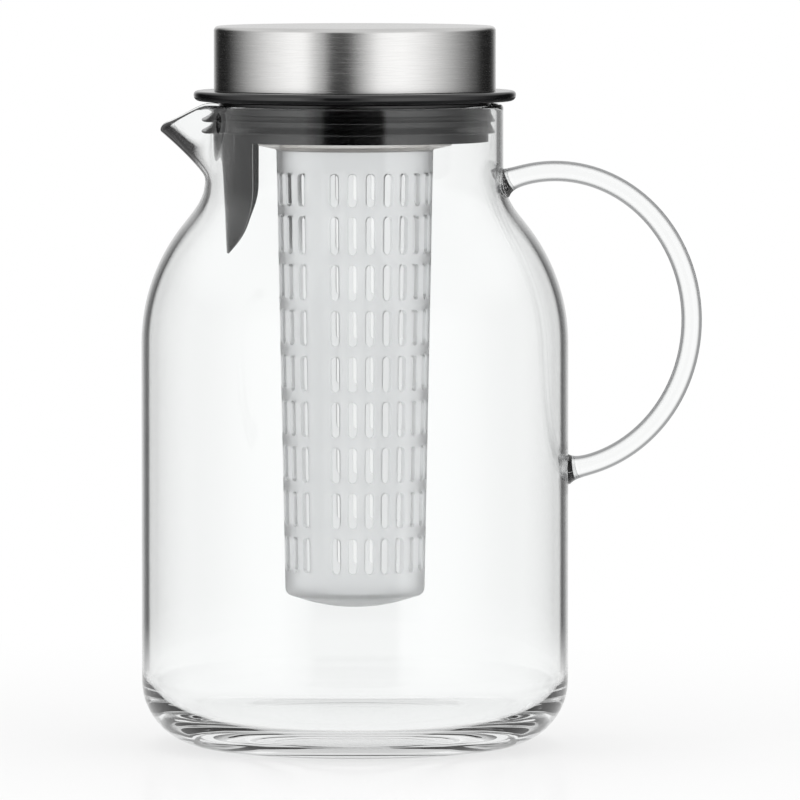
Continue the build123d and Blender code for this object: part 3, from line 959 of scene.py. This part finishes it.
def seal_profile(sizes, share):
    """Outline of the lip seal as (radius, height); a lip's radius follows the spout around the neck."""
    inner, outer = sizes.seal_inner, sizes.seal_outer
    bottom, top = seal_low.z, seal_high.z
    soft = 0.0003
    bore = sizes.neck_radius - sizes.glass_wall - sizes.seal_gap
    profile = [(inner + soft, bottom), (outer - soft, bottom)]
    for lip in range(2):
        base = bottom + lip * sizes.lip_pitch
        room = bore + np.maximum(spout_growth(sizes, base) * share * 0.9, 0.0)
        reach = np.minimum(room, sizes.seal_reach)
        # Flat below, a rounded tip, and a slope back to the sleeve above
        tip = ((-0.0003, 0), (-0.00008, 0.00012), (0, 0.0003), (-0.00006, 0.0006), (-0.0003, 0.0008))
        profile.append((outer, base + 0.00002))
        profile += [(reach + out, base + up) for out, up in tip]
        profile += [(outer + 0.0002, base + 0.0024), (outer, base + 0.0027)]
    profile += [(outer, top - soft), (outer - soft, top), (inner + soft, top)]
    return profile + [(inner, top - soft), (inner, bottom + soft)]


class PITCHER_OT_seals(bpy.types.Operator):
    """Mould the lip seal around the plug and finish the washer in the socket"""

    bl_idname = "pitcher.seals"
    bl_label = "Silicone Seals"

    def execute(self, context):
        sizes, colours = settings(context)
        black = moulded("seal_silicone", colours.seal, "silicone", Specular_IOR_Level=0.75, IOR=1.5)
        angles = np.arange(lid_segments) * 2 * pi / lid_segments
        rings = []
        for reach, height in seal_profile(sizes, spout_share(angles, sizes.spout_spread)):
            ring = (reach * np.cos(angles), reach * np.sin(angles), np.full(lid_segments, height))
            rings.append(np.column_stack(ring))
        seal = skinned("lip_seal", rings, black, sharp=35.0, loop=True)
        settle(seal, "seal", "seal_silicone", "neck_seal")
        dress("infuser_washer", moulded("washer_silicone", colours.washer, "milky"))
        return {"FINISHED"}


# Stage


def aim_at(piece, target):
    """Turns a lamp or a camera towards a point."""
    way = Vector(target) - piece.location
    piece.rotation_euler = way.to_track_quat("-Z", "Y").to_euler()


def area_lamp(name, place, target, size, strength):
    """A soft rectangular lamp that faces a point."""
    data = bpy.data.lights.new(name, "AREA")
    data.shape = "RECTANGLE"
    data.size, data.size_y = size
    data.energy = strength
    lamp = bpy.data.objects.new(name, data)
    lamp.location = place
    aim_at(lamp, target)
    lamp.visible_camera = False
    lamp.visible_glossy = False
    lamp.visible_transmission = False
    bpy.context.scene.collection.objects.link(lamp)


def straight_through(tree, paths):
    """One for rays that reach a surface through clear walls alone, without being reflected."""
    kept = calculate(tree, "LESS_THAN", paths["Diffuse Depth"], 0.5)
    kept = times(tree, kept, calculate(tree, "LESS_THAN", paths["Glossy Depth"], 0.5))
    return times(tree, kept, paths["Is Transmission Ray"])


def all_round(tree, share, stops):
    """A grey that follows stops of (degrees from the front, brightness) all round."""
    return ramp(tree, share, [(angle / 360 + 0.5, (level,) * 3) for angle, level in stops])


def mirrored(stops):
    """Stops of (degrees, brightness) for the other side of the front."""
    return [(-angle, level) for angle, level in reversed(stops)]


def grey(level):
    """A grey colour."""
    return (level, level, level, 1)


def studio_world():
    """White behind the pitcher; around it, two broad pale panels with dark gaps between them."""
    world = bpy.data.worlds.new("studio")
    bpy.context.scene.world = world
    world.use_nodes = True
    tree = world.node_tree
    paths = tree.nodes.new("ShaderNodeLightPath").outputs
    x, y, z = coordinates(tree, "Generated")
    around = calculate(tree, "ARCTAN2", x, times(tree, y, -1.0))
    share = calculate(tree, "ADD", calculate(tree, "DIVIDE", around, 2 * pi), 0.5)
    # Degrees from the front, positive towards the handle, and the brightness there
    left = ((-128, 0.01), (-120, 0.06), (-108, 0.2), (-95, 0.42), (-73, 0.78), (-54, 1.0), (-41, 1.05))
    front = ((-36.5, 0.8), (-30, 0.5), (-23, 0.35), (-21, 0.02), (-5, 0.02), (21, 1.0))
    right = ((40, 1.05), (56, 0.9), (75, 0.6), (97, 0.27), (111, 0.12), (127, 0.01))
    back = ((148, 0.01), (157, 0.12), (164, 0.45), (170, 0.7), (180, 0.75))
    panels = all_round(tree, share, (*mirrored(back), *left, *front, *right, *back))
    light = blend(tree, slope(tree, z, 0.2, 0.5, "LINEAR"), panels, grey(0.62))
    # Polished glass that mirrors the studio once sees the gaps between the panels filled in
    half = ((80, 0), (105, 0.75), (149, 0.75), (152, 0), (160, 0), (168, 0.5), (180, 0.6))
    filled = all_round(tree, share, (*mirrored(half), (0, 0), *half))
    once = calculate(tree, "LESS_THAN", paths["Glossy Depth"], 1.5)
    once = times(tree, once, filled)
    # Rays that cross the near wall twice come from the pieces inside, which mirror the plain panels
    walls = calculate(tree, "ABSOLUTE", calculate(tree, "SUBTRACT", paths["Transmission Depth"], 4.0))
    once = times(tree, once, calculate(tree, "GREATER_THAN", walls, 0.5))
    light = blend(tree, times(tree, paths["Is Singular Ray"], once), light, grey(0.85))
    # Whatever is seen in or through polished glass has a dark gap straight in front of it
    gap = all_round(tree, share, ((-27, 0), (-23, 0.95), (22, 0.95), (26, 0)))
    light = blend(tree, times(tree, gap, paths["Is Singular Ray"]), light, grey(0))
    white = calculate(tree, "MAXIMUM", paths["Is Camera Ray"], straight_through(tree, paths))
    tree.links.new(blend(tree, white, light, grey(1)), tree.nodes["Background"].inputs["Color"])


def distance_fade(tree, start, end):
    """Zero near the pitcher, one further out."""
    distance = tree.nodes.new("ShaderNodeVectorMath")
    distance.operation = "LENGTH"
    tree.links.new(tree.nodes.new("ShaderNodeTexCoord").outputs["Object"], distance.inputs[0])
    return slope(tree, distance.outputs["Value"], start, end)


def mixed_shader(tree, factor, first, second):
    """A shader that goes from the first to the second with the factor."""
    node = tree.nodes.new("ShaderNodeMixShader")
    for socket, value in zip(node.inputs, (factor, first, second)):
        tree.links.new(value, socket)
    return node.outputs[0]


def floor_material(tint):
    """A pale satin floor that keeps the shadow near the pitcher and fades to white further out."""
    material = moulded("floor_white", tint, "floor")
    tree = material.node_tree
    paths = tree.nodes.new("ShaderNodeLightPath").outputs
    # Rays guided along the glass see the floor as lit through the glass
    guided = times(tree, paths["Is Singular Ray"], 0.7)
    through = calculate(tree, "MAXIMUM", straight_through(tree, paths), guided)
    # To the camera the floor is 65 percent white at the pitcher's foot and all white further out
    plain = calculate(tree, "ADD", times(tree, distance_fade(tree, 0.08, 0.4), 0.35), 0.65)
    plain = times(tree, plain, paths["Is Camera Ray"])
    white = calculate(tree, "MAXIMUM", plain, through)
    glow = tree.nodes.new("ShaderNodeEmission").outputs[0]
    lit = mixed_shader(tree, white, tree.nodes["Principled BSDF"].outputs[0], glow)
    # Further out the floor gives way to the studio for all but the camera
    others = calculate(tree, "SUBTRACT", 1.0, paths["Is Camera Ray"])
    gone = times(tree, distance_fade(tree, 0.15, 0.5), others)
    clear = tree.nodes.new("ShaderNodeBsdfTransparent").outputs[0]
    surface = mixed_shader(tree, gone, lit, clear)
    tree.links.new(surface, tree.nodes["Material Output"].inputs["Surface"])
    return material


def studio_camera():
    """A long lens in front of the pitcher, a little above it."""
    data = bpy.data.cameras.new("camera")
    data.sensor_width = 36.0
    data.lens = 399.0
    data.clip_end = 100.0
    camera = bpy.data.objects.new("camera", data)
    sideways = 0.01426
    camera.location = (sideways, -2.8, 0.2861)
    aim_at(camera, (sideways, 0, 0.1092))
    bpy.context.scene.collection.objects.link(camera)
    bpy.context.scene.camera = camera


class PITCHER_OT_stage(bpy.types.Operator):
    """Lay the floor and set up the lamps, the world and the camera"""

    bl_idname = "pitcher.stage"
    bl_label = "Stage"

    def execute(self, context):
        scene = context.scene
        floor_radius, floor_height = 1.4, -0.0003
        flat = [(floor_radius * part, floor_height) for part in np.linspace(0, 1, 9)]
        floor = skinned("floor", turned(flat, segments=96), floor_material(scene.pitcher_colours.floor))
        for face in floor.data.polygons:
            if face.normal.z < 0:
                face.flip()
        middle = (0, 0, 0.12)
        for name, angle, width, strength in (("left_box", -56, 0.62, 3.0), ("right_box", 45, 0.8, 3.6)):
            place = (sin(radians(angle)), -cos(radians(angle)), 0.42)
            area_lamp(name, place, middle, (width, 1.2), strength)
        area_lamp("top_box", (0, 0.15, 1.3), middle, (1.0, 1.0), strength=8.0)
        studio_world()
        studio_camera()
        scene.view_settings.view_transform = "Standard"
        # Enough bounces for light that is guided along the thick glass foot
        scene.cycles.max_bounces = 32
        scene.cycles.glossy_bounces = 24
        scene.cycles.transmission_bounces = 24
        return {"FINISHED"}


steps_in_order = (
    PITCHER_OT_glass,
    PITCHER_OT_infuser,
    PITCHER_OT_cap,
    PITCHER_OT_mouldings,
    PITCHER_OT_seals,
    PITCHER_OT_stage,
)


class PITCHER_PT_panel(bpy.types.Panel):
    """Steps, sizes and colours of the pitcher"""

    bl_label = "Infuser Pitcher"
    bl_space_type = "VIEW_3D"
    bl_region_type = "UI"
    bl_category = "Pitcher"

    def draw(self, context):
        layout = self.layout
        for step in steps_in_order:
            layout.operator(step.bl_idname)
        for group in settings(context):
            column = layout.column()
            for name in group.__annotations__:
                column.prop(group, name)


classes = (PitcherSizes, PitcherColours, *steps_in_order, PITCHER_PT_panel)


def register():
    for kind in classes:
        bpy.utils.register_class(kind)
    bpy.types.Scene.pitcher_sizes = bpy.props.PointerProperty(type=PitcherSizes)
    bpy.types.Scene.pitcher_colours = bpy.props.PointerProperty(type=PitcherColours)


def unregister():
    del bpy.types.Scene.pitcher_colours
    del bpy.types.Scene.pitcher_sizes
    for kind in reversed(classes):
        bpy.utils.unregister_class(kind)


def main():
    register()
    bpy.ops.pitcher.glass()
    bpy.ops.pitcher.infuser()
    bpy.ops.pitcher.cap()
    bpy.ops.pitcher.mouldings()
    bpy.ops.pitcher.seals()
    bpy.ops.pitcher.stage()


if __name__ == "__main__":
    main()
